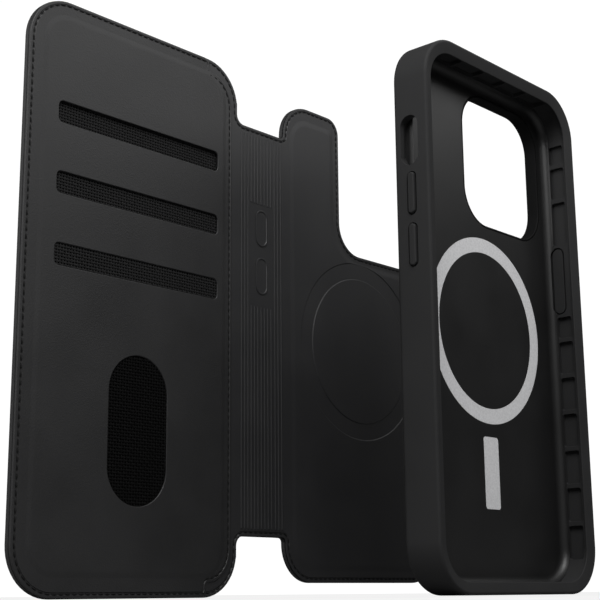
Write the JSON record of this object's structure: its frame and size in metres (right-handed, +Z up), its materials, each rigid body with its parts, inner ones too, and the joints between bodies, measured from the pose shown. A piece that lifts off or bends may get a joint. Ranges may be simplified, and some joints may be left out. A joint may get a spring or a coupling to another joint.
{
  "type": "phone wallet case",
  "caption": "Folding card-wallet cover that stands open like a book, with a slim magnetic phone case sliding off its back cover; buttons press in the case's walls.",
  "frame": {"origin": "on the floor, below the middle of the whole object's box", "axes": "+X along the open folio from the wallet flap to the back cover, +Y away from the reader through the back cover, +Z up"},
  "size_m": [0.1666, 0.0586, 0.1523],
  "materials": {
    "leather": "black synthetic leather with a fine pressed grain, matte",
    "lining": "black smooth synthetic leather, embossed, matte",
    "board": "grey pressed fibreboard, hidden",
    "mesh_fabric": "black open woven nylon mesh",
    "thread": "black twisted polyester sewing thread",
    "magnet": "nickel plated magnets and steel shunts, hidden",
    "case_plastic": "black fine-textured polycarbonate",
    "case_rubber": "black soft-touch synthetic rubber, satin",
    "grey_inlay": "light grey printed film, satin"
  },
  "bodies": {
    "back_cover": {"back_skin": "leather", "back_board": "board", "back_lining": "lining", "cover_magnets": "magnet", "cover_shunt": "magnet", "back_stitching": "thread"},
    "spine": {"spine_skin": "leather", "spine_lining": "lining", "spine_top_stitching": "thread", "spine_bottom_stitching": "thread"},
    "flap": {"flap_skin": "leather", "flap_board": "board", "pocket_spacer": "board", "card_divider_1": "mesh_fabric", "card_divider_2": "mesh_fabric", "card_divider_3": "mesh_fabric", "wallet_face": "leather", "flap_stitching": "thread"},
    "case": {"case_tray": "case_plastic", "case_bumper": "case_rubber", "camera_bezel": "case_rubber", "case_magnets": "magnet", "case_shunt": "magnet", "ring_inlay": "grey_inlay", "bar_magnet": "magnet", "bar_inlay": "grey_inlay"},
    "volume_up": {"volume_up_button": "case_rubber"},
    "volume_down": {"volume_down_button": "case_rubber"},
    "side_key": {"side_button": "case_rubber"}
  },
  "joints": [
    {"name": "back_fold", "type": "hinge", "parent": "back_cover", "child": "spine", "pos_m": [0.0048, 0.0278, 0.0757], "axis": [0, 0, 1], "range_deg": [-90, 90]},
    {"name": "flap_fold", "type": "hinge", "parent": "spine", "child": "flap", "pos_m": [-0.0098, 0.0278, 0.0757], "axis": [0, 0, 1], "range_deg": [-90, 90]},
    {"name": "case_dock", "type": "slide", "parent": "back_cover", "child": "case", "axis": [0, 1, 0], "range_m": [0, 0.04405]},
    {"name": "volume_up_press", "type": "slide", "parent": "case", "child": "volume_up", "axis": [1, 0, 0], "range_m": [0, 0.0004], "stiffness_N_per_m": 1200},
    {"name": "volume_down_press", "type": "slide", "parent": "case", "child": "volume_down", "axis": [1, 0, 0], "range_m": [0, 0.0004], "stiffness_N_per_m": 1200},
    {"name": "side_key_press", "type": "slide", "parent": "case", "child": "side_key", "axis": [-1, 0, 0], "range_m": [0, 0.0004], "stiffness_N_per_m": 1200}
  ]
}
